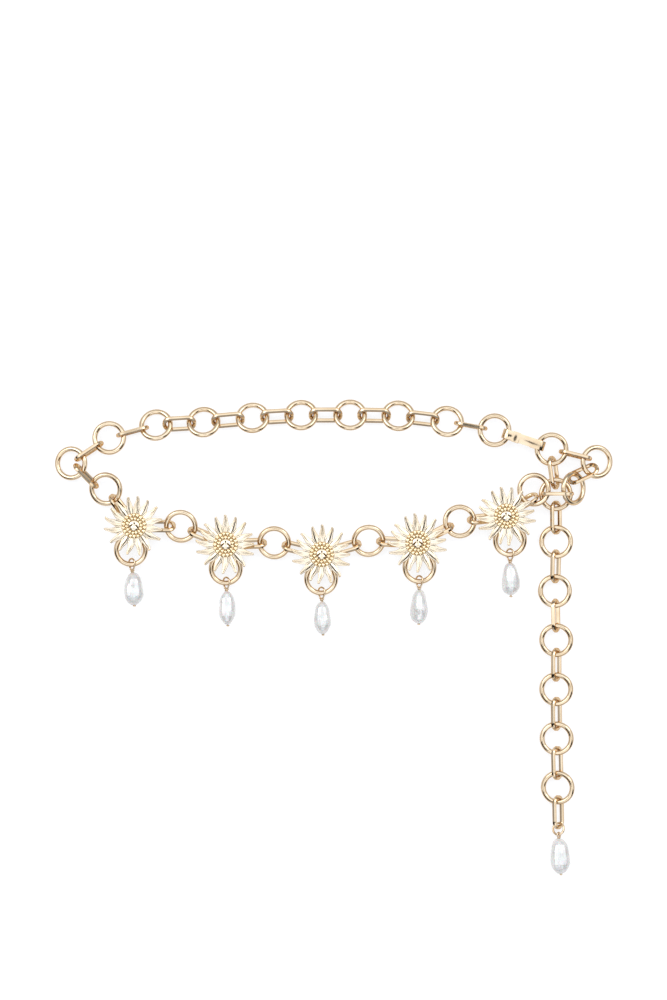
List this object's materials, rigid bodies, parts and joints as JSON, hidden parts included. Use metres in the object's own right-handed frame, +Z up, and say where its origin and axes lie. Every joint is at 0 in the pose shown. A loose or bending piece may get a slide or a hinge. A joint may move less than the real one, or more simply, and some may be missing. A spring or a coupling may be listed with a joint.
{
  "type": "waist chain",
  "caption": "Waist chain laid flat: a loop of round rings and oval links with sunburst ornaments, baroque pearl drops, a flat hook clasp and a hanging tail that ends in a pearl.",
  "frame": {"origin": "middle of the waist opening, on the surface that the chain lies on", "axes": "+X to the picture's right, towards the clasp's hook and the tail; +Y to the picture's top, towards the plain back of the chain; +Z up from the surface"},
  "size_m": [0.2965, 0.2523, 0.0168],
  "materials": {
    "gold": "polished champagne gold plate",
    "warm_gold": "polished cast gold plate",
    "pearl": "glossy baroque pearl"
  },
  "bodies": {
    "root": {"sun_1": "warm_gold", "sun_2": "warm_gold", "sun_3": "warm_gold", "sun_4": "warm_gold", "sun_5": "warm_gold", "sun_link_1": "gold", "sun_link_2": "gold", "sun_link_3": "gold", "sun_link_4": "gold", "sun_link_5": "gold", "sun_link_6": "gold", "sun_link_7": "gold", "sun_link_8": "gold", "sun_link_9": "gold", "sun_link_10": "gold", "front_ring_1": "gold", "front_ring_2": "gold", "front_ring_3": "gold", "front_ring_4": "gold", "drop_ring_1": "gold", "drop_ring_2": "gold", "drop_ring_3": "gold", "drop_ring_4": "gold", "drop_ring_5": "gold", "drop_pin_1": "gold", "drop_pin_2": "gold", "drop_pin_3": "gold", "drop_pin_4": "gold", "drop_pin_5": "gold", "pearl_1": "pearl", "pearl_2": "pearl", "pearl_3": "pearl", "pearl_4": "pearl", "pearl_5": "pearl", "back_chain": "gold", "tail_chain": "gold", "clasp": "gold", "tail_jump_ring": "gold", "tail_pin": "gold", "tail_pearl": "pearl"}
  },
  "joints": []
}
